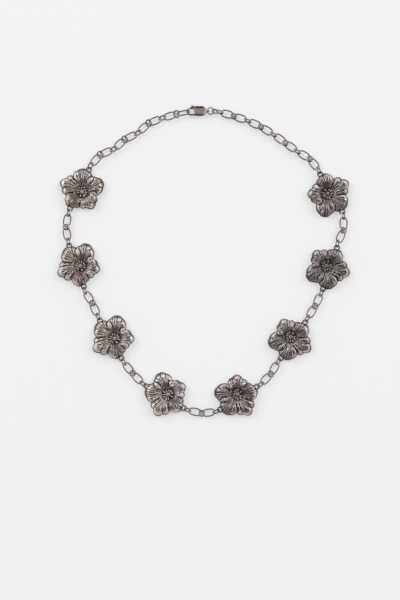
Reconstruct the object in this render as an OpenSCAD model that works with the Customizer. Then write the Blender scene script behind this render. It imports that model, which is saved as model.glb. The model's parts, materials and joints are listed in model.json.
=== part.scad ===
// Flower collar necklace, laid out flat in a loop.
// Eight cast five-petalled flowers are joined by wire chain and closed by a lobster clasp.
// Millimetres. The loop lies in X and Y, the surface it lies on is at Z = 0.

/* [Chain] */
// Length of a large oval link, over the wire
link_length = 7.0; // [6.9:0.05:7.05]
// Width of a large oval link, over the wire
link_width = 4.3; // [4.1:0.1:4.5]
// Wire thickness of a large oval link
link_wire = 0.7; // [0.6:0.02:0.72]
// Radius of the blunt end of a large oval link, at the middle of the wire
link_end = 1.65; // [1.6:0.01:1.66]
// Length of a small link that lies along the chain
knot_length = 4.3; // [4.25:0.05:4.4]
// Width of a small link that lies along the chain
knot_width = 3.2; // [3.1:0.1:3.3]
// Length of a small link that lies across the chain
ring_length = 4.5; // [4.4:0.05:4.6]
// Width of a small link that lies across the chain
ring_width = 3.3; // [3.25:0.05:3.4]
// Wire thickness of the small links
small_wire = 0.58; // [0.5:0.02:0.6]
// Height of the middle of the chain above the surface
chain_height = 1.64; // [1.64:0.01:1.8]
// Roll of the small links along the chain, in degrees
knot_roll = 52; // [48:1:56]
// Roll of the small links across the chain, in degrees
ring_roll = 40; // [36:1:42]
// Roll of the large links the other way, in degrees
link_roll = 9; // [8:0.5:10]

/* [Flowers] */
// Thickness of the petal wall
wall = 1.0; // [0.8:0.05:1.2]
// Height of the petal crests above the surface
crest_height = 4.9; // [4.4:0.1:5.4]
// Height of the dark throat round the stamens
throat_height = 2.3; // [2:0.1:2.8]
// Height of the petal lips at their lowest
lip_height = 0.75; // [0.7:0.05:1.2]
// Height of the stamen beads
stamen_height = 4.1; // [3.8:0.1:4.4]
// Wire thickness of the eyelets under the petals
eyelet_wire = 0.7; // [0.6:0.05:0.7]
// Radius of an eyelet, at the middle of its wire
eyelet_radius = 1.25; // [1.2:0.01:1.3]

/* [Clasp] */
// Thickness of the clasp body
clasp_thickness = 3.0; // [2.8:0.1:3.2]
// Half width of the clasp body
clasp_half_width = 2.4; // [2.3:0.05:2.5]
// Wire thickness of the hook
hook_wire = 0.8; // [0.7:0.05:0.8]
// Thickness of the lever
lever_thickness = 1.2; // [1:0.1:1.3]
// Gap between the lever and the walls of its slot
lever_gap = 0.1; // [0.1:0.05:0.15]
// Diameter of the hinge pin
pin_diameter = 0.7; // [0.6:0.05:0.8]
// Diameter of the jump ring, over the wire
jump_ring = 4.0; // [3.9:0.05:4.1]

/* [Hidden] */
silver = "#8d8887";
dark_silver = "#6f6a68";
bright_silver = "#a39d99";

// Radius of the blunt ends of the small links, at the middle of the wire
knot_end = 1.15;
ring_end = 1.2;
// Slight swelling where two bends of a wire meet
swell_width = 0.06;
swell_length = 0.3;

// Distance from the middle of a small link to the middle of the large link it holds
knot_half = 4.04;
ring_half = 3.56;
pitch = knot_half + ring_half;
// Distance from the middle of an eyelet to the middle of the small link in it
eyelet_reach = 2.2;
// How far the small link in an eyelet keeps to the direction of the eyelet
eyelet_hold = 0.68;

// Middle of the loop's outline, which is brought to the origin
loop_middle = [-0.24, 0.04];

// Flowers round the loop: middle across, middle up, turn in degrees
fx = 0;
fy = 1;
fturn = 2;
flowers = [
    [-63.3, 36.0, -46],
    [-64.2, -2.5, -0.4],
    [-46.5, -40.2, 9.6],
    [-18.7, -69.3, 39.6],
    [17.4, -69.2, 102],
    [45.0, -39.4, 125.7],
    [63.8, -2.5, 141.1],
    [64.1, 35.0, 190.4],
];

// Chain between flowers: heading out of the first flower, heading out of the next, side it bows to
gout = 0;
gback = 1;
gside = 2;
gaps = [
    [-107, 104, -1],
    [-79.5, 115.5, 1],
    [-61, 145, -1],
    [-27, -152, -1],
    [31.5, -126, -1],
    [60, -110.6, -1],
    [84, -72, -1],
];

// Headings of the two runs from the end flowers up to the clasp, link by link
left_headings = [67.5, 48, 23, 41, 26.5, 42, 21, 15.5, 10.5];
right_headings = [110, 127.5, 150, 144, 145, 148, 156, 161.5, 163.5];

// Eyelets of a flower: direction, distance from its middle
edir = 0;
edist = 1;
eyelets = [
    [119.5, 12.1],
    [279.5, 10.85],
];

// Lobes of the petals: direction, reach, half angle over which it falls back by 1 mm
ldir = 0;
lreach = 1;
lhalf = 2;
lobes = [
    [74, 12.3, 19.5],
    [134, 12.4, 20],
    [180, 11.1, 13],
    [199, 12.8, 11.6],
    [218, 10.9, 13],
    [266, 10.9, 19],
    [293, 9.1, 13],
    [321, 8.8, 16],
    [349, 10.4, 14.5],
    [12, 9.2, 14],
];

// Grooves between petals: direction, depth, half angle
gdir = 0;
gdepth = 1;
ghalf = 2;
grooves = [
    [40, 1.0, 7],
    [106, 1.0, 7],
    [165, 1.1, 6],
    [233, 1.1, 6],
    [307, 1.1, 7],
];

// Post that an eyelet is soldered by
post_width = 1.1;
post_height = 1.5;

// Stamens: the foot of each on the pistil, and their direction and reach
stamen_width = 0.55;
stamen_foot = 0.8;
stamen_base = 2.9;
stamen_top = stamen_height - 0.3;
stamens = [
    [10, 2.8],
    [37, 2.6],
    [72, 2.5],
    [104, 2.9],
    [140, 2.5],
    [172, 2.7],
    [208, 2.9],
    [236, 2.5],
    [295, 2.7],
    [341, 2.9],
];

function unit(a) = [cos(a), sin(a)];
function wrap(a) = a - 360 * round(a / 360);
function heading(v) = atan2(v.y, v.x);

// Place of one flower, and of one of its eyelets
function place(f) = [f[fx], f[fy]] - loop_middle;
function eye(f, e) = place(f) + eyelets[e][edist] * unit(eyelets[e][edir] + f[fturn]);

// Small links of the run between two flowers: first, middle and last
function gap_joints(i) =
    let (
        a = eye(flowers[i], 1) + eyelet_reach * unit(gaps[i][gout]),
        c = eye(flowers[i + 1], 0) + eyelet_reach * unit(gaps[i][gback]),
        d = c - a,
        l = norm(d),
        h = sqrt(max(pitch * pitch - l * l / 4, 0)),
        b = (a + c) / 2 + gaps[i][gside] * h * [-d.y, d.x] / l
    )
    [a, b, c];

// Small links of a run that follows a list of headings, the first one out of the eyelet
function walk(p, headings, k = 0) =
    k >= len(headings)
        ? []
        : let (q = p + (k == 0 ? eyelet_reach : pitch) * unit(headings[k]))
            concat([q], walk(q, headings, k + 1));

left_joints = walk(eye(flowers[0], 0), left_headings);
right_joints = walk(eye(flowers[7], 1), right_headings);

// Direction between two directions of travel
function between(a, b, share = 0.5) = heading(share * unit(a) + (1 - share) * unit(b));

// Directions of the three small links of a run between two flowers
function gap_headings(i) =
    let (
        j = gap_joints(i),
        first = heading(j[1] - j[0]),
        second = heading(j[2] - j[1])
    )
    [
        between(gaps[i][gout], first, eyelet_hold),
        between(first, second),
        between(gaps[i][gback] + 180, second, eyelet_hold)
    ];

// Direction of one small link of a run that follows a list of headings
function walk_heading(headings, k) =
    between(
        headings[k],
        headings[min(k + 1, len(headings) - 1)],
        k == 0 ? eyelet_hold : 0.5
    );

// A large link between two joints, of which the first is a knot or a ring: middle, heading
function link_between(a, b, knot_first) =
    let (u = (b - a) / norm(b - a))
    [a + u * (knot_first ? knot_half : ring_half), heading(u)];

gap_links = [
    for (i = [0:6])
        let (j = gap_joints(i))
        each [link_between(j[0], j[1], true), link_between(j[1], j[2], false)]
];
left_links = [
    for (k = [0:7])
        k < 7
            ? link_between(left_joints[k], left_joints[k + 1], k % 2 == 0)
            : [left_joints[7] + ring_half * unit(left_headings[8]), left_headings[8]]
];
right_links = [
    for (k = [0:7]) link_between(right_joints[k], right_joints[k + 1], k % 2 == 0)
];

// Clasp, from its own middle: the bend of the hook, the hinge pin and the ring in the tail.
// The body is rounded as a bar, and the lever turns in a slot with room round its boss.
hook_x = -3.75;
hook_y = -0.3;
hook_radius = 1.65;
pivot_x = 0.2;
pivot_y = 1.3;
pivot_clear = 1.12;
lever_radius = 0.9;
pin_clear = 0.16;
body_round = 2.62;
tail_x = 4.95;
tail_radius = 0.9;
tail_wire = 0.72;
// Direction in which the bend of the hook ends
hook_tip = 130;

// The last link on the left hangs on the hook, rolled, with a little play along it
last_link = left_links[7];
hooked_roll = 45;
hook_play = 0.25;
hook_reach = link_length / 2 - link_wire - hook_play - hook_wire / 2;
clasp_at = last_link[0] + (hook_reach + hook_radius) * unit(last_link[1]) - [hook_x, hook_y];

// The jump ring is in the tail, and the end link joins it to the last run
ring_play = 0.15;
ring_middle = clasp_at + [tail_x + ring_play + (jump_ring - small_wire) / 2, 0];
end_knot = right_joints[8];
end_heading = heading(end_knot - ring_middle);
end_link_length = 3.6;
end_link_width = 2.9;
end_link_end = 1.05;
end_roll = 50;
end_link_middle =
    (ring_middle + (jump_ring / 2 - small_wire) * unit(end_heading)
    + end_knot - (knot_length / 2 - small_wire) * unit(end_heading)) / 2;

LINKS = concat(
    [for (i = [0:6]) for (k = [1:2]) str("oval_link_", i + 1, "_", k)],
    [for (k = [1:8]) str("oval_link_left_", k)],
    [for (k = [1:8]) str("oval_link_right_", k)]
);
link_places = concat(gap_links, left_links, right_links);
FLOWERS = [for (i = [1:8]) str("flower_", i)];
SMALL = concat(
    [for (i = [1:7]) str("small_links_", i)],
    ["small_links_left", "small_links_right"]
);

// Wire bent round part of a circle, from angle a to angle b
module wire_arc(radius, a, b, wire) {
    rotate([0, 0, a])
        rotate_extrude(angle = b - a, $fn = 96)
            translate([radius, 0])
                circle(d = wire, $fn = 24);
}

// Slight swelling where two bends of a wire run into each other, along direction a
module seam(wire, a) {
    rotate([0, 90, a])
        translate([0, 0, -swell_length / 2])
            cylinder(d = wire + swell_width, h = swell_length, $fn = 32);
}

// Closed link of four arcs: two blunt ends and two bowed sides, lying along X
module oval_wire(length, width, wire, end) {
    a = (length - wire) / 2;
    b = (width - wire) / 2;
    c = a - end;
    side = (c * c + b * b - end * end) / (2 * (b - end));
    t = atan2(side - b, c);
    for (s = [0, 180])
        rotate([0, 0, s]) {
            translate([c, 0, 0])
                wire_arc(end, -t, t, wire);
            translate([0, b - side, 0])
                wire_arc(side, t, 180 - t, wire);
            for (m = [1, -1])
                translate([c + end * cos(t), m * end * sin(t), 0])
                    seam(wire, m * (t + 90));
        }
}

// Large link at its place on the chain
module oval_link(place) {
    color(silver)
        translate([place[0].x, place[0].y, chain_height])
            rotate([0, 0, place[1]])
                rotate([-link_roll, 0, 0])
                    oval_wire(link_length, link_width, link_wire, link_end);
}

// Last link on the left, rolled to pass over and under the hook
module hooked_link() {
    color(silver)
        translate([last_link[0].x, last_link[0].y, chain_height])
            rotate([0, 0, last_link[1]])
                rotate([-hooked_roll, 0, 0])
                    oval_wire(link_length, link_width, link_wire, link_end);
}

// Small link along the chain
module knot(at, toward, roll = knot_roll) {
    color(dark_silver)
        translate([at.x, at.y, chain_height])
            rotate([0, 0, toward])
                rotate([roll, 0, 0])
                    oval_wire(knot_length, knot_width, small_wire, knot_end);
}

// Small link across the chain
module ring(at, toward, roll = ring_roll) {
    color(bright_silver)
        translate([at.x, at.y, chain_height])
            rotate([0, 0, toward])
                rotate([roll, 0, 0])
                    rotate([0, 0, 90])
                        oval_wire(ring_length, ring_width, small_wire, ring_end);
}

module small_links_between(i) {
    at = gap_joints(i);
    toward = gap_headings(i);
    knot(at[0], toward[0]);
    ring(at[1], toward[1]);
    knot(at[2], toward[2]);
}

module small_links_walk(joints, headings, last) {
    for (k = [0:last])
        if (k % 2 == 0)
            knot(joints[k], walk_heading(headings, k));
        else
            ring(joints[k], walk_heading(headings, k));
}

// Outline of the flower: the farthest reaching lobe in each direction
function outline(a) =
    max(
        7.7,
        max([for (l = lobes) l[lreach] - pow(wrap(a - l[ldir]) / l[lhalf], 2)])
    );

function bell(x) = exp(-x * x);
function groove(a) = max([for (g = grooves) g[gdepth] * bell(wrap(a - g[gdir]) / g[ghalf])]);

// Lips rise over the eyelets and where a petal ruffles up
eyelet_rise = 1.9;
function lip(a) =
    lip_height
    + eyelet_rise * bell(wrap(a - eyelets[0][edir]) / 15)
    + eyelet_rise * bell(wrap(a - eyelets[1][edir]) / 15)
    + 0.5 * (1 + sin(5 * a - 20)) * (1 - bell(wrap(a - 199) / 14)) * 0.6;

// Rings of the top surface: share of the way from the throat to the lip, share of the crest
crest_share = 0.62;
share = [0, 0.3, crest_share, 0.87, 1];
function top_height(a, t) =
    let (
        rise = throat_height + (crest_height - throat_height) * sin(min(t / crest_share, 1) * 90),
        fall = t > crest_share ? pow((t - crest_share) / (1 - crest_share), 1.7) : 0
    )
    rise - fall * (crest_height - lip(a)) - groove(a) * sin(min(t * 1.15, 1) * 180) * 1.1;

// Directions round the petals, and the rings of the throat: half width, height
steps = 48;
inner = 2.9;
pistil_radius = 1.5;
pistil_height = 3.0;
pistil_top = 3.3;
pistil_under = 1.3;

// Petals with their hollow back, as one closed wall
module petals() {
    r = [for (i = [0:steps - 1]) outline(i * 360 / steps)];
    top = [
        [[0, 0, pistil_top]],
        [for (i = [0:steps - 1]) concat(pistil_radius * unit(i * 360 / steps), [pistil_height])],
        for (t = share)
            [
                for (i = [0:steps - 1])
                    let (a = i * 360 / steps, q = inner + (r[i] - inner) * t)
                    concat(q * unit(a), [top_height(a, t)])
            ]
    ];
    under = [0.98, 0.6, 0];
    back = [
        for (t = under)
            [
                for (i = [0:steps - 1])
                    let (a = i * 360 / steps, q = inner + (r[i] - inner) * t)
                    concat(q * unit(a), [max(top_height(a, t) - 1.15 * wall, 0)])
            ]
    ];
    rings = concat([for (k = [1:6]) top[k]], back);
    points = concat(top[0], [for (ring = rings) each ring], [[0, 0, pistil_under]]);
    last = len(points) - 1;
    function at(k, i) = 1 + k * steps + i % steps;
    faces = concat(
        [for (i = [0:steps - 1]) [0, at(0, i + 1), at(0, i)]],
        [
            for (k = [0:len(rings) - 2]) for (i = [0:steps - 1])
                each [
                    [at(k, i), at(k, i + 1), at(k + 1, i)],
                    [at(k, i + 1), at(k + 1, i + 1), at(k + 1, i)]
                ]
        ],
        [for (i = [0:steps - 1]) [last, at(len(rings) - 1, i), at(len(rings) - 1, i + 1)]]
    );
    polyhedron(points, faces, convexity = 6);
}

// Ring soldered under a petal, on a short post
module eyelet(e) {
    rotate([0, 0, eyelets[e][edir]]) {
        translate([eyelets[e][edist], 0, chain_height])
            rotate_extrude($fn = 16)
                translate([eyelet_radius, 0])
                    circle(d = eyelet_wire, $fn = 8);
        translate([eyelets[e][edist] - eyelet_radius - 0.1, 0, chain_height - 0.3])
            cylinder(d = post_width, h = post_height, $fn = 8);
    }
}

// Short stamens round the pistil
module stamen(s) {
    rotate([0, 0, s[0]])
        translate([stamen_foot, 0, stamen_base])
            rotate([0, 90 - heading([s[1] - stamen_foot, stamen_top - stamen_base]), 0])
                cylinder(
                    d = stamen_width,
                    h = norm([stamen_top - stamen_base, s[1] - stamen_foot]),
                    $fn = 6
                );
}

module flower(f) {
    color(dark_silver)
        translate(concat(place(f), 0))
            rotate([0, 0, f[fturn]]) {
                petals();
                for (e = [0, 1])
                    eyelet(e);
                for (s = stamens)
                    stamen(s);
            }
}

// Bullet-shaped outline of the clasp body, its tail to the right
module body_outline() {
    w = clasp_half_width;
    polygon([
        [-1.3, -w + 0.5], [-0.9, -w], [3.0, -w], [4.35, -1.1], [4.35, 1.1],
        [3.9, 1.6], [2.9, w], [-1.0, w], [-1.3, w - 0.4]
    ]);
}

// Room for the lever inside the body
module lever_room() {
    translate([pivot_x, pivot_y])
        circle(r = pivot_clear, $fn = 48);
    polygon([
        [-2.5, -0.5], [-0.6, 0.3], [1.2, 1.3], [1.2, 3.2], [-2.5, 3.2]
    ]);
}

// Brings a part of the clasp to its place on the chain
module at_clasp() {
    translate([clasp_at.x, clasp_at.y, chain_height])
        children();
}

module clasp_body() {
    color(silver)
        at_clasp() {
            difference() {
                intersection() {
                    translate([0, 0, -clasp_thickness / 2])
                        linear_extrude(clasp_thickness)
                            body_outline();
                    translate([-3, 0, 0])
                        rotate([0, 90, 0])
                            cylinder(r = body_round, h = 9, $fn = 64);
                }
                translate([0, 0, -lever_thickness / 2 - lever_gap])
                    linear_extrude(lever_thickness + 2 * lever_gap)
                        lever_room();
            }
            translate([pivot_x, pivot_y, -1])
                cylinder(d = pin_diameter, h = 2, $fn = 32);
            // Hook: lower arm, bend and rounded tip
            translate([hook_x, hook_y - hook_radius, 0])
                rotate([0, 90, 0])
                    cylinder(d = hook_wire, h = 3.2, $fn = 32);
            translate([hook_x, hook_y, 0])
                wire_arc(hook_radius, hook_tip, 270, hook_wire);
            translate([hook_x, hook_y - hook_radius, 0])
                seam(hook_wire, 0);
            translate([hook_x, hook_y, 0] + hook_radius * concat(unit(hook_tip), 0))
                sphere(d = hook_wire + 0.03, $fn = 32);
            // Tail ring, standing upright
            translate([tail_x, 0, 0])
                rotate([90, 0, 0])
                    rotate_extrude($fn = 64)
                        translate([tail_radius, 0])
                            circle(d = tail_wire, $fn = 24);
        }
}

module clasp_lever() {
    color(bright_silver)
        at_clasp()
            difference() {
                translate([0, 0, -lever_thickness / 2])
                    linear_extrude(lever_thickness)
                        union() {
                            translate([pivot_x, pivot_y])
                                circle(r = lever_radius, $fn = 48);
                            polygon([
                                [pivot_x, pivot_y - 0.7], [pivot_x, 2.15], [-1.2, 2.42],
                                [-2.35, 2.45], [-2.7, 3.0], [-3.3, 2.85], [-3.4, 1.95],
                                [-4.2, 1.5], [-4.15, 0.85], [-3.6, 0.95], [-1.2, 1.2]
                            ]);
                        }
                translate([pivot_x, pivot_y, -2])
                    cylinder(d = pin_diameter + pin_clear, h = 4, $fn = 32);
            }
}

module jump_ring() {
    color(silver)
        translate([ring_middle.x, ring_middle.y, chain_height])
            rotate_extrude($fn = 64)
                translate([(jump_ring - small_wire) / 2, 0])
                    circle(d = small_wire, $fn = 24);
}

module end_link() {
    color(dark_silver)
        translate([end_link_middle.x, end_link_middle.y, chain_height])
            rotate([0, 0, end_heading])
                rotate([end_roll, 0, 0])
                    oval_wire(end_link_length, end_link_width, small_wire, end_link_end);
}

for (i = [0:7])
    flower(flowers[i]);
for (i = [0:len(LINKS) - 1])
    union() {
        if (LINKS[i] == "oval_link_left_8")
            hooked_link();
        else
            oval_link(link_places[i]);
    }
for (i = [0:6])
    small_links_between(i);
small_links_walk(left_joints, left_headings, 7);  // small_links_left
small_links_walk(right_joints, right_headings, 8);  // small_links_right
clasp_body();
clasp_lever();
jump_ring();
end_link();
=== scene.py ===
"""Flower collar necklace of oxidised silver, laid out flat in a loop.

Eight cast flowers, wire chain and a lobster clasp, all worked out as surfaces with numpy.
Shapes are in millimetres and degrees until they become meshes, which are in metres.
"""

import json

import bpy
import numpy as np
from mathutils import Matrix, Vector


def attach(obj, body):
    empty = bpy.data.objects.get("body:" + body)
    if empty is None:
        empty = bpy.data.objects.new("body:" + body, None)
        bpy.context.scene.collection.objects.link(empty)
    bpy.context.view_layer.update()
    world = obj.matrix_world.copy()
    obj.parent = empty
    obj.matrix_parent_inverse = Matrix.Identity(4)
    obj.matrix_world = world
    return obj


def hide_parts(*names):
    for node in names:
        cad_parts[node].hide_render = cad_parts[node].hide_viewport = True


bl_info = {
    "name": "Flower Collar Necklace",
    "version": (1, 0, 0),
    "blender": (4, 5, 0),
    "location": "3D View > Sidebar > Necklace",
    "description": "Builds an oxidised silver flower necklace round its packed model",
    "category": "Add Mesh",
}

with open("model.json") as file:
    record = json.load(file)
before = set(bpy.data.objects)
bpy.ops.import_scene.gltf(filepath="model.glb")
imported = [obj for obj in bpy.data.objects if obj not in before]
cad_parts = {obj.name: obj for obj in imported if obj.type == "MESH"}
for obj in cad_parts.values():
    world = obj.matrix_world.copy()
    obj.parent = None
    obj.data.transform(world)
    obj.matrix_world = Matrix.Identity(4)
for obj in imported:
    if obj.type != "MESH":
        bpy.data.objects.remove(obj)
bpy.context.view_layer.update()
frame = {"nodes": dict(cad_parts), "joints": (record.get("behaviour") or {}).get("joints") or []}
MM = 0.001
CHAIN_HEIGHT = 1.64  # middle of the chain's wire above the surface

# Castings: points round a flower, rows of its throat, its petals and its hollow back
COLUMNS, THROAT_ROWS, PETAL_ROWS, BACK_ROWS = 400, 20, 84, 10
THROAT, THROAT_HEIGHT = 2.9, 2.6  # distance and height where the petals start
LEAST_REACH = 7.7  # no part of the rim is nearer to the middle
CREST_FALL = 0.9  # how far a petal falls from its crest to the rim
LIP_HEIGHT, RUFFLE = 0.75, 0.3  # lowest rim, and half height of its ruffles
EYELET_RISE = 1.9  # how far the rim rises over an eyelet
TALLEST = 4.88  # no point of a flower is higher
RIM = 0.3  # radius of the rolled rim
BACK, FOOT = 1.25, 1.15  # how far the hollow back and the rim's foot lie below the upper side
LEAST_WALL = 0.45  # no part of the casting is thinner
RIB_SPACING = 6.8  # between the coarse ribs of a petal, as seen from the middle
BEAD_SPACING = 0.62  # between rows of beads on the pistil
NEAR, WIDE = 0.30, 0.85  # distances over which hollows are found, for creases and for folds

# How bright even metal is, how much darker it is in a crease, in a fold, on the rim and in the
# throat, and how strongly the table of darker spots and painted light counts. Creases, folds
# and throat are dark with oxide; the rim is dark with oxide and painted shade.
EVEN, CREASE, FOLD, EDGE, DEEP = 0.45, 0.37, 0.19, 0.38, 0.19
TARNISH_AND_LIGHT_SPOT_GAIN = 1.6

# Wire: points round it, and the length below which a link is one of the small ones
SIDES = 14
SMALL_LINK = 5.0

# Flowers round the loop: middle across, middle up, turn in degrees, brightness
FLOWERS = [
    (-63.06, 35.96, -46.0, 1.00),
    (-63.96, -2.54, -0.4, 1.00),
    (-46.26, -40.24, 9.6, 1.05),
    (-18.46, -69.34, 39.6, 1.12),
    (17.64, -69.24, 102.0, 0.86),
    (45.24, -39.44, 125.7, 0.84),
    (64.04, -2.54, 141.1, 0.72),
    (64.34, 34.96, 190.4, 0.82),
]

# Hues that tarnish gives to silver, and last how much brighter painted light makes it
HUES = {
    "cream": (1.14, 1.04, 0.86),
    "gold": (1.06, 0.98, 0.72),
    "brown": (1.04, 0.84, 0.70),
    "pink": (1.12, 0.90, 0.94),
    "purple": (0.84, 0.68, 0.86),
    "cool": (0.86, 0.95, 1.02),
    "rubbed": (1.75, 1.70, 1.68),
}

# Patches of tarnish, and last patches of painted light: flower, direction, distance from its
# middle, half width, hue, strength
PATCHES = [
    (1, 266, 8.0, 4.5, "gold", 0.9),
    (1, 199, 9.0, 4.5, "gold", 0.5),
    (1, 134, 9.0, 4.0, "purple", 0.6),
    (1, 74, 9.5, 3.5, "brown", 0.6),
    (2, 205, 11.0, 2.4, "purple", 1.0),
    (2, 262, 7.5, 3.5, "pink", 0.9),
    (2, 356, 8.0, 3.5, "pink", 0.5),
    (2, 134, 8.0, 4.0, "gold", 0.6),
    (2, 74, 9.5, 3.5, "cool", 0.8),
    (3, 74, 9.0, 4.0, "pink", 0.9),
    (3, 199, 9.0, 4.0, "cream", 0.6),
    (3, 349, 8.5, 3.0, "cool", 0.6),
    (4, 134, 9.0, 4.0, "cream", 1.0),
    (4, 199, 9.0, 4.0, "cream", 0.7),
    (4, 349, 8.5, 4.0, "purple", 0.8),
    (5, 134, 10.5, 3.0, "brown", 1.0),
    (5, 266, 9.5, 3.0, "brown", 0.8),
    (5, 349, 8.5, 4.0, "purple", 0.5),
    (6, 199, 9.0, 4.5, "pink", 0.7),
    (6, 74, 9.0, 5.0, "cool", 0.9),
    (6, 320, 7.0, 5.0, "cool", 0.7),
    (7, 74, 8.5, 6.0, "cool", 1.0),
    (7, 266, 8.5, 6.0, "cool", 0.9),
    (8, 134, 9.5, 4.0, "cream", 0.9),
    (8, 349, 8.5, 3.5, "cream", 0.7),
    (8, 74, 10.0, 3.0, "purple", 0.5),
    # Painted light: these brighten the throat's slope on the plus Y side of flowers 5 to 8, which
    # the surround lights dimly
    (5, 348, 4.3, 2.4, "rubbed", 0.8),
    (6, 324, 4.3, 2.6, "rubbed", 1.0),
    (6, 292, 5.0, 1.8, "rubbed", 0.8),
    (7, 309, 4.3, 2.6, "rubbed", 1.0),
    (7, 276, 5.2, 1.8, "rubbed", 0.9),
    (8, 260, 4.3, 2.2, "rubbed", 0.6),
]

# Lobes of the petals: direction, reach, half angle over which a lobe falls back by 1 mm
LOBES = [
    (74, 12.3, 19.5),
    (134, 12.4, 20),
    (180, 11.1, 13),
    (199, 12.8, 11.6),
    (218, 10.9, 13),
    (266, 10.9, 19),
    (293, 9.1, 13),
    (321, 8.8, 16),
    (349, 10.4, 14.5),
    (12, 9.2, 14),
]

# Where the rim is nicked: direction, half angle, depth
NICKS = [
    (92, 8, 0.75),
    (58, 6, 0.35),
    (118, 6, 0.30),
    (146, 5, 0.35),
    (189, 4, 0.30),
    (256, 6, 0.35),
    (276, 5, 0.30),
    (340, 5, 0.25),
]

# Fine ripples of the rim: depth, waves round the flower, phase
RIPPLES = [(0.06, 13, 0), (0.04, 23, 40)]

# Petals, by where one ends and the next begins: direction at the end, direction of the midrib
PETALS = [(46, 356), (111, 76), (165, 138), (231, 200), (307, 268), (406, 356)]

# Edges of petals that lie over the next one: side of the upper petal, depth, then the line
# from the throat to the rim as distance and direction. Side 1 is counterclockwise of the line.
OVERLAPS = [
    (-1, 0.70, [(3.5, 43), (4.5, 45), (6, 47), (7, 44.5), (7.5, 38), (8.0, 30)]),
    (-1, 0.72, [(4.2, 106), (5.5, 111), (6.5, 114), (8, 109), (9.3, 106), (10.6, 102)]),
    (-1, 0.85, [(4.2, 157), (6, 163), (7, 165), (8, 167), (9.5, 166), (10.9, 165)]),
    (-1, 0.75, [(4.0, 229), (6.5, 231), (8.3, 232), (9.9, 237)]),
    (1, 0.75, [(4.2, 309), (6, 308), (7.3, 307), (8.8, 307)]),
]

# Creases in a petal, negative for a raised rib: depth, half width, then the line
CREASES = [
    (0.42, 0.30, [(5.4, 91), (6.4, 88), (8, 89.5), (9.8, 97)]),
    (0.50, 0.30, [(4.2, 176), (6, 179), (7.6, 180.5), (8.8, 181)]),
    (0.34, 0.30, [(7.6, 209), (9.5, 213), (11.2, 215)]),
    (0.20, 0.26, [(4.6, 190), (6.4, 193), (8.4, 195)]),
    (0.26, 0.28, [(6.6, 283), (9, 285.5), (10.6, 287)]),
    (0.42, 0.30, [(4.2, 341), (6, 340.5), (7.6, 339), (9.6, 336)]),
    (0.24, 0.26, [(9.6, 124), (11.8, 126)]),
    (0.24, 0.26, [(9.8, 142), (11.8, 142)]),
    (0.22, 0.24, [(5.0, 122), (8.0, 124)]),
    (0.20, 0.24, [(7.5, 358), (9.4, 0)]),
    (0.36, 0.45, [(8.6, 60), (12.9, 57)]),
    (0.26, 0.36, [(9.4, 73), (12.9, 71)]),
    (0.32, 0.40, [(9.2, 85), (12.9, 88)]),
    (-0.22, 0.45, [(6.8, 198), (8.5, 203), (10, 207), (11.2, 209)]),
    (-0.16, 0.34, [(5.6, 237), (7.6, 237.5)]),
    (-0.14, 0.36, [(8.0, 257), (10.2, 257)]),
    (-0.18, 0.38, [(5.2, 267), (8.6, 269)]),
    (-0.14, 0.30, [(6.0, 57), (9.2, 57)]),
    (-0.14, 0.30, [(6.0, 64), (10.4, 65)]),
    (-0.16, 0.30, [(5.4, 146), (9.6, 150)]),
]

# Swellings: direction, distance, half length outwards, half width across, height
SWELLS = [
    (152, 9.9, 1.1, 1.2, 0.34),
    (177, 9.6, 0.9, 0.8, 0.34),
    (350, 8.8, 1.2, 1.0, 0.38),
    (203, 10.8, 1.1, 1.2, 0.34),
    (321, 6.3, 1.3, 0.9, 0.50),
    (25, 5.3, 1.0, 0.8, 0.45),
    (100, 7.0, 1.9, 0.6, 0.34),
    (222, 8.8, 1.2, 1.1, 0.28),
    (64, 10.4, 1.2, 1.6, 0.24),
    (258, 8.6, 1.6, 1.1, 0.22),
    (7, 7.3, 1.2, 1.1, 0.26),
    (294, 8.0, 0.9, 0.7, 0.20),
]

# Spots where the metal is darker or brighter: direction, distance, half length, half width,
# more. The bright spots on the swellings are painted highlights, the one at 326 degrees is
# painted light on a throat slope, those at 74 and 52 degrees are painted shade over the rim's
# sheen, and the other dark spots make the metal darker.
TARNISH_AND_PAINTED_LIGHT_SPOTS = [
    (266, 4.9, 1.7, 3.0, -0.14),
    (228, 5.4, 1.7, 1.2, -0.10),
    # Painted shade over the sheen on the rim, in this row and the next
    (74, 11.4, 1.0, 3.4, -0.12),
    (52, 10.4, 1.3, 1.9, -0.15),
    (110, 10.6, 0.8, 1.2, -0.08),
    (282, 5.0, 1.6, 1.8, -0.10),
    (75, 5.0, 1.4, 2.0, -0.08),
    (10, 8.8, 0.8, 1.8, -0.12),
    (136, 11.4, 0.9, 2.8, -0.10),
    (209, 11.7, 0.9, 1.2, -0.10),
    (298, 8.4, 2.0, 1.0, -0.10),
    (340, 9.6, 0.6, 1.2, -0.08),
    # Painted highlights on the swellings, from here to the row at 24 degrees
    (152, 10.1, 0.6, 0.6, 0.16),
    (177, 9.8, 0.5, 0.5, 0.16),
    (350, 9.1, 0.6, 0.5, 0.16),
    (203, 11.1, 0.6, 0.7, 0.12),
    (321, 6.2, 0.9, 0.6, 0.14),
    (258, 8.4, 1.4, 1.0, 0.08),
    (60, 9.2, 1.8, 1.4, 0.08),
    (24, 5.3, 0.8, 0.6, 0.12),
    # Painted light on the throat's slope
    (326, 4.3, 1.3, 2.2, 0.11),
]

# Stamens: direction, reach, then the radius of their thread
STAMENS = [
    (10, 2.9),
    (37, 2.7),
    (72, 2.5),
    (104, 3.0),
    (140, 2.5),
    (172, 2.8),
    (208, 3.0),
    (236, 2.6),
    (295, 2.8),
    (341, 3.0),
]
THREAD = 0.17

# Eyelets under the petals: direction, distance from the middle, then the radius of each ring
# and of its wire
EYELETS = [(119.5, 12.1), (279.5, 10.85)]
EYELET_RADIUS, EYELET_WIRE = 1.25, 0.35

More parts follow.
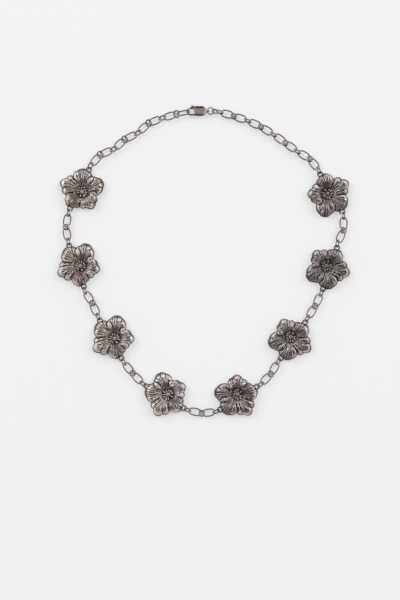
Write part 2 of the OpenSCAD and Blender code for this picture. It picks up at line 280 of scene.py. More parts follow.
# Links: start of the node's name, wire thickness, radius of the blunt end, material slot
LINKS = [
    ("oval_link", 0.70, 1.65, "oval_link_silver"),
    ("small_links", 0.58, 1.17, "small_link_silver"),
    ("end_link", 0.58, 1.05, "small_link_silver"),
]
JUMP_WIRE = 0.29  # half the thickness of the jump ring's wire
WARM = (1.08, 0.97, 0.92)  # hue of the wire

# Clasp, from its own middle: hinge pin, hook, tail ring, then outlines of the body's cheeks,
# of the core between them, and of the lever
PIVOT, PIN_RADIUS = (0.2, 1.3), 0.42
HOOK_MIDDLE, HOOK_RADIUS, HOOK_WIRE = (-3.75, -0.3), 1.65, 0.40
TIP_LENGTH = 0.38  # over which the hook's end is rounded
TAIL, TAIL_RADIUS, TAIL_WIRE = (4.95, 0, 0), 0.9, 0.36
CHEEK_HEIGHT, CHEEK_BULGE = 0.72, 0.78
CHEEK = [
    (-1.4, -1.9), (-0.9, -2.4), (3.0, -2.4), (4.68, -0.6), (4.68, 0.6),
    (3.0, 2.4), (-1.5, 2.4), (-2.0, 2.1),
]
CORE = [
    (-1.2, -1.7), (-0.85, -2.2), (2.9, -2.3), (4.4, -0.6), (4.4, 0.6), (2.9, 2.3),
    (1.4, 2.3), (1.4, 1.3), (1.1, 0.5), (0.2, 0.12), (-0.6, 0.25), (-1.2, -0.05),
]
LEVER = [
    (0.2, 0.4), (0.84, 0.66), (1.1, 1.3), (0.84, 1.94), (0.2, 2.2), (-1.2, 2.42),
    (-2.0, 2.45), (-2.75, 2.98), (-3.2, 2.86), (-3.38, 2.0), (-4.33, 1.55), (-4.30, 1.02),
    (-3.6, 0.98), (-1.2, 1.2),
]

# Stage: middle of the picture, and radius of the floor in metres
PICTURE_MIDDLE = (-1.84, -20.22)
FLOOR_RADIUS = 2.5


# ---------------------------------------------------------------------------
# Shapes


def bell(x):
    """One at nought, falling to nothing either side, as e to the minus x squared."""
    return np.exp(-x * x)


def wrap(a):
    """An angle in degrees brought to between minus 180 and 180."""
    return (a + 180) % 360 - 180


def step(x, low, high):
    """Nought below low, one above high, and a smooth S of 3 t squared minus 2 t cubed between."""
    t = np.clip((x - low) / (high - low), 0, 1)
    return t * t * (3 - 2 * t)


def rounded(t, least):
    """Share of full thickness towards a round end: one at nought, and a quarter circle down to
    the square root of the least at one."""
    return np.sqrt(np.clip(1 - np.clip(t, 0, 1) ** 2, least, 1))


def polar(r, a):
    """Points at distance r in direction a."""
    return np.stack([r * np.cos(np.radians(a)), r * np.sin(np.radians(a))], -1)


def reach(a):
    """Farthest lobe in direction a, less ripples, each depth times one minus a sine, and less
    nicks, each a bell. A lobe is a parabola over the angle."""
    lobes = np.array(LOBES, float)
    d = wrap(a[..., None] - lobes[:, 0]) / lobes[:, 2]
    far = np.max(lobes[:, 1] - d * d, axis=-1).clip(min=LEAST_REACH)
    ripple = sum(deep * (1 - np.sin(np.radians(waves * a + phase)))
                 for deep, waves, phase in RIPPLES)
    return far - ripple - sum(deep * bell(wrap(a - way) / half) for way, half, deep in NICKS)


def lip(a):
    """Height of the rim: low, with a bell over each eyelet and five slow ruffles, each one plus
    a sine, which die out at the longest lobe."""
    ruffle = RUFFLE * (1 + np.sin(np.radians(5 * a - 20))) * (1 - bell(wrap(a - 199) / 14))
    rise = sum(EYELET_RISE * bell(wrap(a - way) / 15) for way, _ in EYELETS)
    return LIP_HEIGHT + ruffle + rise


def bowl(a, r, crest):
    """Petals without detail, and the share t of the way out. A quarter sine goes up from the
    throat to the crest at half way out, then comes a slow fall as the power 1.5, and a roll
    down to the lip over the last quarter as the power 2.6."""
    t = np.clip((r - THROAT) / (reach(a) - THROAT), 0, 1)
    rise = THROAT_HEIGHT + (crest - THROAT_HEIGHT) * np.sin(np.clip(t / 0.5, 0, 1) * np.pi / 2)
    slow = rise - CREST_FALL * np.clip((t - 0.45) / 0.55, 0, 1) ** 1.5
    return slow + (lip(a) - slow) * np.clip((t - 0.75) / 0.25, 0, 1) ** 2.6, t


def from_line(x, y, line):
    """Distance to a bent line, positive on its left, and how far along it the nearest point
    is. The nearest of the line's straight pieces counts."""
    p = polar(*np.array(line, float).T)
    best, side, run = np.full(x.shape, 99.0), np.ones(x.shape), np.zeros(x.shape)
    for k, (a, b) in enumerate(zip(p[:-1], p[1:])):
        u = b - a
        s = np.clip(((x - a[0]) * u[0] + (y - a[1]) * u[1]) / (u @ u), 0, 1)
        dx, dy = x - a[0] - s * u[0], y - a[1] - s * u[1]
        d = np.hypot(dx, dy)
        near = d < best
        best = np.where(near, d, best)
        side = np.where(near, np.where(u[0] * dy - u[1] * dx >= 0, 1, -1), side)
        run = np.where(near, (k + s) / (len(p) - 1), run)
    return best * side, run


def veins(a, r, t):
    """Fine ribs that fan out over each petal: powers of a cosine of the angle from its midrib,
    with a second set that comes in between the first towards the rim. Each coarse rib has its
    own height, slow beads along it, and fades towards the rim."""
    ends, ribs = np.array(PETALS, float).T
    petal = np.searchsorted(ends, a % 360)
    off = wrap(a - ribs[petal]) / (1 + 0.26 * (t - 0.5)) + 0.7 * np.sin(0.9 * r + 2 * petal)
    count = off / RIB_SPACING + 0.16 * petal
    coarse = (0.5 + 0.5 * np.cos(2 * np.pi * count)) ** 1.8
    fine = (0.5 + 0.5 * np.cos(4 * np.pi * count)) ** 1.5
    own = 1 + 0.45 * np.sin(2.4 * np.round(count) + petal)
    beads = 1 + 0.15 * np.sin(2 * np.pi * r / 1.25 + 2.1 * np.round(count))
    band = step(r, 2.6, 3.4) * (1 - 0.62 * step(t, 0.42, 0.85))
    return band * beads * (own * coarse + 0.25 * step(t, 0.5, 0.8) * fine)


def flower_top(x, y, crest, vein):
    """Height of a flower's upper side, and the share of the way out: the bowl, less overlaps
    and creases, plus swellings and veins. An overlap falls off as an exponential, fast on the
    upper petal and slowly on the lower one. The pistil is a dome as e to the minus fourth
    power, with beads where three cosines at 60 degrees meet."""
    a, r = np.degrees(np.arctan2(y, x)), np.hypot(x, y)
    h, t = bowl(a, r, crest)
    out = step(r, 3.2, 4.6)
    for side, depth, line in OVERLAPS:
        d, run = from_line(x, y, line)
        d = d * side
        upper = np.exp(-np.abs(d) / 0.20) - 0.28 * bell((d - 0.8) / 0.6)
        lower = np.exp(-np.abs(d) / 1.10)
        h = h - depth * out * step(run, -0.02, 0.15) * np.where(d > 0, upper, lower)
    for depth, half, line in CREASES:
        d, run = from_line(x, y, line)
        h = h - depth * out * bell(d / half) * step(run, -0.05, 0.2) * (1 - step(run, 0.85, 1.05))
    for way, far, length, width, high in SWELLS:
        off = np.radians(wrap(a - way)) * far
        h = h + high * bell((r - far) / length) * bell(off / width)
    h = h + vein * veins(a, r, t)
    k = 2 * np.pi / BEAD_SPACING
    beads = np.cos(k * x) + np.cos(k * (0.5 * x + 0.866 * y)) + np.cos(k * (0.5 * x - 0.866 * y))
    dome = 1.25 * np.exp(-((r / 1.35) ** 4)) + 0.06 * beads * bell((r / 1.25) ** 2)
    return h + dome, t


def ring_mean(fn, x, y, far):
    """Mean height of eight points round each point, at one distance."""
    around = np.radians(np.arange(8) * 45)
    return sum(fn(x + far * np.cos(w), y + far * np.sin(w)) for w in around) / 8


def wear_and_painted_light_of(a, r, full, t, fine, broad):
    """How bright each point of a flower's upper side is made by rubbing and by painted light, from
    its direction, distance, reach, share of the way out, and depth below the points round it,
    near and wide. Hollows are dark with oxide by the hyperbolic tangent of that depth. The rim
    is dark too, with oxide and painted shade, over a width that waves. The spots from the table
    of darker metal and painted light, the dark throat and the bright ring round it are bells,
    and the pistil is bright on its beads. A bell over the petals' inner slopes round the throat
    is painted light."""
    wide = 1.45 + 0.45 * np.sin(np.radians(5 * a + 60)) + 0.35 * np.sin(np.radians(11 * a))
    rim = step((r - full) / wide, -1.0, -0.3) * (0.80 + 0.20 * np.sin(np.radians(7 * a)))
    rubbed = EVEN - CREASE * np.tanh(fine / 0.045) - FOLD * np.tanh(broad / 0.2)
    # Painted light: the bell at 3.9 mm brightens the petals' inner slopes round the throat. The
    # rim is darker with oxide and painted shade.
    rubbed = rubbed + 0.08 * step(t, 0.0, 0.4) + 0.10 * bell((r - 3.9) / 1.1) - EDGE * rim
    # Spots of darker metal, painted shade and painted highlights from the table
    for way, far, length, width, more in TARNISH_AND_PAINTED_LIGHT_SPOTS:
        off = np.radians(wrap(a - way)) * far
        rubbed = rubbed + TARNISH_AND_LIGHT_SPOT_GAIN * more * bell((r - far) / length) * bell(off / width)
    rubbed = np.where(r < 1.4, 0.50 - 5.0 * fine, rubbed)
    return rubbed - DEEP * bell((r - 2.1) / 0.5) + 0.26 * bell((r - 3.1) / 0.55)


def casting(crest, vein):
    """One flower round its own middle, in rings. The upper side goes out to the rim, which is
    rolled through a quarter circle down to its foot, and the hollow back is the bowl again,
    lower by the thickness. The rim and the back are evenly dark; on the rim that dark is oxide
    and painted shade in one."""
    a = np.arange(COLUMNS) * (360 / COLUMNS)
    full = reach(a)
    share = np.concatenate([
        np.linspace(0.012, 0.30, THROAT_ROWS), np.linspace(0.31, 1, PETAL_ROWS),
    ])
    r = share[:, None] * (full - RIM)
    ways = np.broadcast_to(a, r.shape)
    x, y = np.moveaxis(polar(r, ways), -1, 0)

    def top(px, py):
        return flower_top(px, py, crest, vein)[0]

    z, t = flower_top(x, y, crest, vein)
    under = np.maximum(bowl(ways, r, crest)[0] - 1.3, 0)
    z = np.maximum(np.minimum(z, TALLEST), under + LEAST_WALL)
    fine, broad = (ring_mean(top, x, y, far) - z for far in (NEAR, WIDE))
    rubbed = wear_and_painted_light_of(ways, r, full, t, fine, broad)
    foot = np.maximum(lip(a) - FOOT, 0)
    turn = np.radians([18, 36, 54, 72, 90])[:, None]
    rim_r = full - RIM + RIM * np.sin(turn)
    rim_z = np.maximum(z[-1] - RIM * (1 - np.cos(turn)), foot + 0.15)
    back_r = np.linspace(1, 0.03, BACK_ROWS)[:, None] * (full - 0.55)
    back_z = np.maximum(bowl(np.broadcast_to(a, back_r.shape), back_r, crest)[0] - BACK, 0)
    back_z[0] = foot
    radii = np.concatenate([r, rim_r, (full - 0.05)[None], (full - 0.2)[None], back_r])
    highs = np.concatenate([z, rim_z, (foot + 0.12)[None], foot[None], back_z])
    # The rolled rim's even dark is oxide and painted shade in one
    shine = np.concatenate([rubbed, np.full((7, COLUMNS), 0.14), np.full(back_r.shape, 0.34)])
    points = np.concatenate([polar(radii, a), highs[..., None]], -1)
    return skin(points, np.clip(shine, 0, 1))


def skin(rings, shine, loop=False):
    """Closed surface over rings of points: its points, quads, triangles at the poles, and how
    bright each point is. Each ring is closed on itself, and the first and last ring meet in a
    loop or each closes in a pole at its mean. A volume below nought turns all faces over."""
    rows, cols = rings.shape[:2]
    shine = np.broadcast_to(shine, (rows, cols))
    points, light = rings.reshape(-1, 3), shine.reshape(-1)
    k, i = np.meshgrid(np.arange(rows if loop else rows - 1), np.arange(cols), indexing="ij")
    j, n = (i + 1) % cols, (k + 1) % rows
    quads = np.stack([k * cols + i, n * cols + i, n * cols + j, k * cols + j], -1).reshape(-1, 4)
    caps = np.zeros((0, 3), int)
    if not loop:
        i = np.arange(cols)
        j = (i + 1) % cols
        first, last = len(points), len(points) + 1
        end = (rows - 1) * cols
        caps = np.concatenate([
            np.stack([np.full(cols, first), i, j], -1),
            np.stack([np.full(cols, last), end + j, end + i], -1),
        ])
        points = np.concatenate([points, [rings[0].mean(0), rings[-1].mean(0)]])
        light = np.concatenate([light, [shine[0].mean(), shine[-1].mean()]])
    tris = np.concatenate([quads[:, [0, 1, 2]], quads[:, [0, 2, 3]], caps])
    p, q, s = (points[tris[:, c]] for c in range(3))
    if np.sum(p * np.cross(q, s)) < 0:
        quads, caps = quads[:, ::-1], caps[:, ::-1]
    return points, quads, caps, light


def circle(count):
    """Points at even steps round a circle of radius one in the plane of X and Y."""
    w = np.linspace(0, 2 * np.pi, count, endpoint=False)
    return np.stack([np.cos(w), np.sin(w), 0 * w], -1)


def tube(path, radius, up, loop, sides=SIDES, shine=0.6, swell=0.0):
    """Round profile carried along a flat path. Up is square to the path's plane, and the other
    axis of the profile is square to up and to the way the path runs. The swell widens the
    profile on its outer side by twice as much."""
    path = np.asarray(path, float)
    if loop:
        way = np.roll(path, -1, 0) - np.roll(path, 1, 0)
    else:
        way = np.gradient(path, axis=0)
    way /= np.linalg.norm(way, axis=1, keepdims=True)
    out = np.cross(way, up)
    w = np.arange(sides) * 2 * np.pi / sides
    radius = np.broadcast_to(radius, len(path))[:, None]
    swell = np.broadcast_to(swell, len(path))[:, None]
    flat, high = swell + (radius + swell) * np.cos(w), radius * np.sin(w)
    ring = flat[..., None] * out[:, None] + high[..., None] * np.asarray(up)
    return skin(path[:, None] + ring, shine, loop)


def oval_path(length, width, wire, end, steps=72):
    """Middle line of a link in the plane of X and Y: two blunt ends and two bowed sides, all
    arcs that meet smoothly, resampled to even steps."""
    a, b = (length - wire) / 2, (width - wire) / 2
    c = a - end
    side = (c * c + b * b - end * end) / (2 * (b - end))
    t = np.arctan2(side - b, c)
    w = np.linspace(-t, t, 24)
    v = np.linspace(t, np.pi - t, 24)
    tip = np.stack([c + end * np.cos(w), end * np.sin(w)], -1)
    bow = np.stack([side * np.cos(v), b - side + side * np.sin(v)], -1)
    half = np.concatenate([tip, bow[1:]])
    path = np.concatenate([half[:-1], -half])
    run = np.concatenate([[0], np.cumsum(np.linalg.norm(np.diff(path, axis=0), axis=1))])
    even = np.linspace(0, run[-1], steps, endpoint=False)
    flat = np.stack([np.interp(even, run, path[:, d]) for d in (0, 1)], -1)
    return np.concatenate([flat, np.zeros((steps, 1))], -1)


def wire_link(middle, axes, length, width, wire, end):
    """Oval of round wire at its place, its thickness varied by a sine times a cosine. It has a
    painted highlight on its upper sides and painted shade below, and is polished bright where
    the next links rub in its two ends. Small links are heavier on their raised side, have
    painted highlights to the left and right, and painted shade, black, along their lower edge
    as seen from above, towards minus Y."""
    small = length < SMALL_LINK
    path = oval_path(length, width, wire, end)
    wave = np.sin(path[:, 0] * 2.3 + middle[0]) * np.cos(path[:, 1] * 3)
    thick = wire / 2 * (0.98 + 0.02 * wave)
    side = (path @ axes)[:, 2]
    swell = 0.14 * step(side / side.max(), 0.1, 0.8) if small else 0.0
    points, quads, caps, light = tube(path, thick, (0, 0, 1), True, swell=swell)
    up = ((points - np.repeat(path, SIDES, 0)) @ axes)[:, 2] / (wire / 2)
    ends = step(np.repeat(np.abs(path[:, 0]), SIDES) / (length / 2), 0.60, 0.92)
    # Painted highlight on the wire's upper side and painted shade below; the bright ends are wear
    light = 0.12 + 0.46 * step(up, 0.0, 0.9) + 0.16 * ends
    points = points @ axes
    if small:
        east, north = np.abs(points[:, 0]), points[:, 1]
        # Small links: painted highlight on top, and painted highlights to the left and right
        light = 0.12 + 0.42 * step(up, 0.0, 0.8) + 0.42 * step(east / east.max(), 0.55, 0.90)
        # Painted shade, black, along the lower edge towards minus Y
        light = light - 0.80 * step(-north / np.abs(north).max(), 0.40, 0.80)
    return points + middle, quads, caps, light


def stamen(way, far, bead):
    """Thread that goes out from the pistil, its height a sine of the way along it, and
    thickens into a rounded bead. It is brighter the higher it is."""
    s = np.linspace(0, 1, 15)
    thick = THREAD + (bead - THREAD) * step(s, 0.1, 0.75)
    thick = thick * rounded((s - 0.82) / 0.18, 0.01)
    high = 2.75 + 1.05 * np.sin(s * 1.9) / np.sin(1.57)
    path = np.concatenate([polar(0.9 + (far - 0.9) * s, np.full(15, float(way))),
                           high[:, None]], -1)
    points, quads, caps, _ = tube(path, thick, (*polar(1.0, way + 90.0), 0.0), False, 10)
    return points, quads, caps, 0.25 + 0.75 * step(points[:, 2], 2.9, 3.8)


def eyelet(way, far):
    """Wire ring under a petal, at the height of the chain, and the post that carries it, which
    widens upwards as a square."""
    ring = EYELET_RADIUS * circle(36) + (*polar(far, way), CHAIN_HEIGHT)
    highs = np.linspace(CHAIN_HEIGHT - 0.3, CHAIN_HEIGHT + 1.1, 9)
    return [
        tube(ring, EYELET_WIRE, (0, 0, 1), True, 12, 0.42),
        post(polar(far - 1.4, way), highs, 0.45 + 0.2 * np.linspace(0, 1, 9) ** 2),
    ]


def hook():
    """Wire of the clasp's hook: a straight arm, then an arc round to the tip, where the wire's
    end is rounded over its last bit of length."""
    arm = np.stack([np.linspace(0.0, -3.6, 18), np.full(18, -1.95)], -1)
    bend = HOOK_MIDDLE + polar(HOOK_RADIUS, np.linspace(268, 117, 40))
    flat = np.concatenate([arm, bend])
    path = np.concatenate([flat, np.zeros((len(flat), 1))], -1)
    thick = HOOK_WIRE + 0.05 * step(path[:, 0], -2.6, -1.2)
    left = np.linalg.norm(path - path[-1], axis=1)
    thick = thick * rounded((TIP_LENGTH - left) / TIP_LENGTH, 0.02)
    return tube(path, thick, (0, 0, 1), False, 16, 0.42)


def with_tarnish_and_painted_light(shape):
    """A part of the clasp, darker along its upper edge, where it is tarnished, and along its lower
    edge with painted shade, and with a painted highlight on the bevel by the tail, which is a
    bell across a slanting line."""
    points, quads, caps, light = shape
    x, y = points[:, 0], points[:, 1]
    # Tarnish along the upper edge, painted shade along the lower edge
    edge = (step(y, 1.1, 1.7) + 0.6 * step(-y, 1.8, 2.2)) * step(x, -1.6, -0.8)
    # Painted highlight on the bevel by the tail
    bevel = bell((0.64 * (x - 3.4) - 0.77 * (y + 1.2)) / 0.30) * step(x, 1.8, 2.8)
    return points, quads, caps, light - 0.34 * edge + 0.50 * bevel


def clasp_hue(points):
    """Hue at each point of the clasp: warm, with a purple band along its upper edge, and
    darker towards its lower edge, which is painted shade."""
    top = step(points[:, 1], 0.9, 1.7)[:, None]
    hue = (1 - top) * (1.22, 1.08, 1.04) + top * (0.54, 0.47, 0.58)
    # Painted shade towards the lower edge
    return hue * (1 - 0.45 * step(-points[:, 1], 1.5, 2.2))[:, None]


def loose_solids(node):
    """Points of a node's separate solids. Corners at the same place are one point, and each
    triangle hands its lowest label to its corners until no label changes."""
    mesh = bpy.data.objects[node].data
    mesh.calc_loop_triangles()
    points = np.empty(len(mesh.vertices) * 3)
    mesh.vertices.foreach_get("co", points)
    tris = np.empty(len(mesh.loop_triangles) * 3, int)
    mesh.loop_triangles.foreach_get("vertices", tris)
    points = points.reshape(-1, 3) / MM
    _, first, same = np.unique(np.round(points, 3), axis=0, return_index=True, return_inverse=True)
    points, tris = points[first], same.reshape(-1)[tris].reshape(-1, 3)
    label = np.arange(len(points))
    while True:
        new = label.copy()
        low = label[tris].min(1)
        for c in range(3):
            np.minimum.at(new, tris[:, c], low)
        new = new[new]
        if np.array_equal(new, label):
            break
        label = new
    return [points[label == k] for k in np.unique(label)]


def lie_of(points):
    """Middle, axes, length and width of a link, from how its points spread: most along it,
    less across it, least square to it."""
    middle = (points.max(0) + points.min(0)) / 2
    axes = np.linalg.svd(points - points.mean(0), full_matrices=False)[2]
    axes[2] = np.cross(axes[0], axes[1])
    spread = (points - middle) @ axes.T
    low, high = spread.min(0), spread.max(0)
    return middle + (low + high) / 2 @ axes, axes, high[0] - low[0], high[1] - low[1]


def plate(outline, middle, low, high, bulge, shine, cols=96, soft=3):
    """Closed plate over an outline seen from a point inside it, softened by means of each
    direction with the two beside it. Its lower and upper sides swell by the bulge, as one
    minus the share outwards to the power 3.2, all to the power 1 / 3.2. Its edge is darker."""
    p = np.array(outline, float) - middle
    p = np.concatenate([p, p[:1]])
    fine = np.concatenate([a + (b - a) * np.linspace(0, 1, 24, endpoint=False)[:, None]
                           for a, b in zip(p[:-1], p[1:])])
    a = np.degrees(np.arctan2(fine[:, 1], fine[:, 0])) % 360
    order = np.argsort(a)
    ways = np.arange(cols) * 360 / cols
    r = np.interp(ways, a[order], np.hypot(*fine.T)[order], period=360)
    for _ in range(soft):
        r = (np.roll(r, 1) + 2 * r + np.roll(r, -1)) / 4
    share = np.sin(np.linspace(0.04, 1, 16) * np.pi / 2)
    swell = (1 - share ** 3.2) ** (1 / 3.2)
    both = np.concatenate([share, share[::-1]])[:, None]
    radii = both * r
    highs = np.concatenate([high + bulge[1] * swell, (low - bulge[0] * swell)[::-1]])
    points = np.concatenate([
        polar(radii, ways) + middle, np.broadcast_to(highs[:, None, None], radii.shape + (1,)),
    ], -1)
    return skin(points, shine * (1 - 0.35 * both ** 6))


def post(spot, highs, radius, shine=0.3):
    """Round upright post over a spot: circles at each height."""
    ring = circle(SIDES)
    path = np.concatenate([np.broadcast_to(spot, (len(highs), 2)), highs[:, None]], -1)
    return skin(path[:, None] + radius[:, None, None] * ring, shine)


# ---------------------------------------------------------------------------
# Pieces


def placed(shape, turn, shift):
    """A shape turned about Z by degrees and then moved."""
    points, quads, caps, light = shape
    c, s = np.cos(np.radians(turn)), np.sin(np.radians(turn))
    spun = points @ np.array([[c, s, 0], [-s, c, 0], [0, 0, 1]])
    return spun + np.asarray(shift, float), quads, caps, light


def make_piece(name, shapes, finish, body, nodes, tarnish):
    """One object from closed shapes in millimetres, riding on a body in place of its nodes,
    with how bright rubbing and painted light make it, and its hue from tarnishing and painted
    light, at each point."""
    counts = np.cumsum([0] + [len(s[0]) for s in shapes])
    points = np.concatenate([s[0] for s in shapes]) * MM
    faces = [face for s, n in zip(shapes, counts) for part in (s[1], s[2])
             for face in (part + n).tolist()]
    mesh = bpy.data.meshes.new(name)
    mesh.from_pydata(points.tolist(), [], faces)
    mesh.polygons.foreach_set("use_smooth", np.ones(len(faces), bool))
    light = np.clip(np.concatenate([s[3] for s in shapes]), 0, 1)
    mesh.attributes.new("rubbed", "FLOAT", "POINT").data.foreach_set("value", light)
    hue = np.ones((len(points), 4))
    hue[:, :3] = tarnish
    mesh.attributes.new("tarnish", "FLOAT_COLOR", "POINT").data.foreach_set("color", hue.ravel())
    mesh.materials.append(finish)
    piece = bpy.data.objects.new(name, mesh)
    bpy.context.scene.collection.objects.link(piece)
    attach(piece, body)
    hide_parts(*nodes)


def tarnish_and_painted_light_of(number, points, at, turn, bright):
    """Hue at each point of a flower: its brightness, times each patch's hue as far as the point is
    inside the patch's bell. Most patches give the hues of tarnishing; the last ones are painted
    light."""
    hue = np.full((len(points), 3), bright)
    flat = points[:, :2] - at
    for flower, way, far, half, name, strength in PATCHES:
        if flower == number:
            away = np.linalg.norm(flat - polar(far, way + turn), axis=1)
            share = 0.45 * strength * bell(away / half)[:, None]
            hue = hue * (1 - share + share * np.array(HUES[name]))
    return hue


# ---------------------------------------------------------------------------
# Finishes


class Strand:
    """A socket that reckons like a number. Each sum or product adds a Math node."""

    def __init__(self, bench, socket):
        self.bench, self.socket = bench, socket

    def reckon(self, operation, first, second):
        return self.bench.add("ShaderNodeMath", {"operation": operation}, {0: first, 1: second})

    def __add__(self, other):
        return self.reckon("ADD", self, other)

    def __radd__(self, other):
        return self.reckon("ADD", other, self)

    def __sub__(self, other):
        return self.reckon("SUBTRACT", self, other)

    def __rsub__(self, other):
        return self.reckon("SUBTRACT", other, self)

    def __mul__(self, other):
        return self.reckon("MULTIPLY", self, other)

    def __rmul__(self, other):
        return self.reckon("MULTIPLY", other, self)


class Bench:
    """The emptied node tree of one finish, or of the surround."""

    def __init__(self, owner):
        owner.use_nodes = True
        self.owner, self.tree = owner, owner.node_tree
        self.tree.nodes.clear()

    def add(self, kind, settings, sockets, out=0):
        """A node of a kind. Settings come first, among them a ramp's stops, then sockets."""
        node = self.tree.nodes.new(kind)
        for name, value in settings.items():
            if name == "stops":
                ramp = node.color_ramp
                while len(ramp.elements) < len(value):
                    ramp.elements.new(1)
                for stop, (place, colour) in zip(ramp.elements, value):
                    stop.position = place
                    stop.color = (*colour, 1)
            else:
                setattr(node, name, value)
        for name, value in sockets.items():
            if isinstance(value, Strand):
                self.tree.links.new(value.socket, node.inputs[name])
            else:
                node.inputs[name].default_value = value
        return Strand(self, node.outputs[out]) if node.outputs else node

    def noise(self, place, scale, detail=2.0, rough=0.5):
        sockets = {"Vector": place, "Scale": scale, "Detail": detail, "Roughness": rough}
        return self.add("ShaderNodeTexNoise", {}, sockets)

    def close(self, shader):
        self.add("ShaderNodeOutputMaterial", {}, {"Surface": shader})
        return self.owner


def silver_finish(name, look, gloss):
    """Oxidised silver: black sulphide in the hollows, bare metal where rubbing has cleaned it,
    cloudy patches of tarnishing between, and fine pits. Three noises shift how bright rubbing
    and painted light make the metal, a ramp turns that into a colour, and the piece's hue,
    painted light included, and a slow drift tint it."""
    bench = Bench(bpy.data.materials.new(name))
    place = bench.add("ShaderNodeTexCoord", {}, {}, "Object")
    rubbed = bench.add("ShaderNodeAttribute", {"attribute_name": "rubbed"}, {}, "Fac")
    hue = bench.add("ShaderNodeAttribute", {"attribute_name": "tarnish"}, {}, "Color")
    cloud = bench.noise(place, 260.0, 3.0, 0.6)
    blotch = bench.noise(place, 900.0, 3.0, 0.6)
    pits = bench.noise(place, 3200.0, 2.0, 0.6)
    wear_and_light = rubbed + (cloud - 0.5) * 0.34 + (blotch - 0.5) * 0.30 + (pits - 0.5) * 0.16
    dark, bare = tuple(look.oxide), tuple(look.silver)
    between = [tuple(d + (b - d) * s for d, b in zip(dark, bare)) for s in (0.06, 0.19, 0.45)]
    stops = [(0.0, dark), (0.25, between[0]), (0.5, between[1]), (0.76, between[2]), (1.0, bare)]
    tone = bench.add("ShaderNodeValToRGB", {"stops": stops}, {"Fac": wear_and_light})
    drift = bench.add(
        "ShaderNodeValToRGB",
        {"stops": [(0.35, (1.03, 0.94, 0.97)), (0.5, (1, 1, 1)), (0.65, (1.04, 0.98, 0.92))]},
        {"Fac": bench.noise(place, 170.0, 2.0, 0.5)},
    )
    mix = {"data_type": "RGBA", "blend_type": "MULTIPLY"}
    tone = bench.add("ShaderNodeMix", mix, {"Factor": 1.0, 6: tone, 7: hue}, 2)
    tone = bench.add("ShaderNodeMix", mix, {"Factor": 1.0, 6: tone, 7: drift}, 2)
    rough = gloss + (1 - rubbed) * 0.16 + (blotch - 0.5) * 0.16
    bump = bench.add(
        "ShaderNodeBump", {}, {"Strength": 0.25, "Distance": 0.00006, "Height": pits + blotch},
    )
    metal = bench.add("ShaderNodeBsdfPrincipled", {}, {
        "Base Color": tone, "Metallic": 1.0, "Roughness": rough, "Normal": bump,
    })
    return bench.close(metal)


def floor_finish(colour, glow):
    """Pale matt light table, which glows a little, with the faintest mottle."""
    bench = Bench(bpy.data.materials.new("pale light table"))
    place = bench.add("ShaderNodeTexCoord", {}, {}, "Object")
    mottle = bench.noise(place, 9.0, 2.0)
    low = tuple(c * 0.997 for c in colour)
    tone = bench.add("ShaderNodeValToRGB", {"stops": [(0.3, low), (0.7, tuple(colour))]},
                     {"Fac": mottle})
    paper = bench.add("ShaderNodeBsdfPrincipled", {}, {
        "Base Color": tone, "Roughness": 0.9, "Specular IOR Level": 0.1,
        "Emission Color": tone, "Emission Strength": glow,
    })
    return bench.close(paper)


def even_surround(strength):
    """Soft light all round: brighter from the left and right, as x squared, and from the top
    of the picture, and dim from the bottom."""
    world = bpy.data.worlds.new("even_surround")
    bench = Bench(world)
    way = bench.add("ShaderNodeTexCoord", {}, {}, "Generated")
    x = bench.add("ShaderNodeSeparateXYZ", {}, {0: way}, "X")
    y = bench.add("ShaderNodeSeparateXYZ", {}, {0: way}, "Y")
    light = (0.43 + y * 0.30 + x * x * 0.24) * strength
    light = light.reckon("MAXIMUM", light, 0.05)
    sky = bench.add("ShaderNodeBackground", {}, {"Color": (1, 1, 1, 1), "Strength": light})
    bench.add("ShaderNodeOutputWorld", {}, {"Surface": sky})
    return world


# ---------------------------------------------------------------------------
# Sizes and colours that a user may change


class NecklaceFlowers(bpy.types.PropertyGroup):
    """Sizes of the cast flowers"""

    crest: bpy.props.FloatProperty(
        name="Crest", description="Height of the petals' crest above the surface",
        default=4.32 * MM, min=0.0035, max=0.0045, unit="LENGTH")
    vein: bpy.props.FloatProperty(
        name="Vein", description="Height of the fine veins on the petals",
        default=0.15 * MM, min=0.0, max=0.0003, unit="LENGTH")
    stamen: bpy.props.FloatProperty(
        name="Stamen", description="Thickness of a stamen at its bead",
        default=0.52 * MM, min=0.0003, max=0.0008, unit="LENGTH")


class NecklaceFinish(bpy.types.PropertyGroup):
    """Colours and gloss of the oxidised silver"""

    oxide: bpy.props.FloatVectorProperty(
        name="Oxide", description="Colour of the blackened hollows",
        default=(0.040, 0.033, 0.032), subtype="COLOR", size=3, min=0, max=1)
    silver: bpy.props.FloatVectorProperty(
        name="Silver", description="Colour of the rubbed metal",
        default=(0.76, 0.70, 0.67), subtype="COLOR", size=3, min=0, max=1)
    gloss: bpy.props.FloatProperty(
        name="Roughness", description="Roughness of the rubbed metal",
        default=0.40, min=0.05, max=1, subtype="FACTOR")


class NecklaceStage(bpy.types.PropertyGroup):
    """Floor, lights and camera"""

    floor: bpy.props.FloatVectorProperty(
        name="Floor", description="Colour of the floor",
        default=(0.45, 0.45, 0.45), subtype="COLOR", size=3, min=0, max=1)
    glow: bpy.props.FloatProperty(
        name="Floor glow", description="Light that the floor gives off, against its colour",
        default=1.08, min=0, max=3)
    sky: bpy.props.FloatProperty(
        name="Surround", description="Brightness of the even light all round",
        default=1.02, min=0, max=3)
    key: bpy.props.FloatProperty(
        name="Key light", description="Power of the large soft light",
        default=20.0, min=0, max=200, unit="POWER")
    fill: bpy.props.FloatProperty(
        name="Fill light", description="Power of the second soft light",
        default=16.0, min=0, max=200, unit="POWER")
    height: bpy.props.FloatProperty(
        name="Camera height", description="Camera above the middle of the chain",
        default=0.7367, min=0.2, max=3, unit="LENGTH")


# ---------------------------------------------------------------------------
# Operators


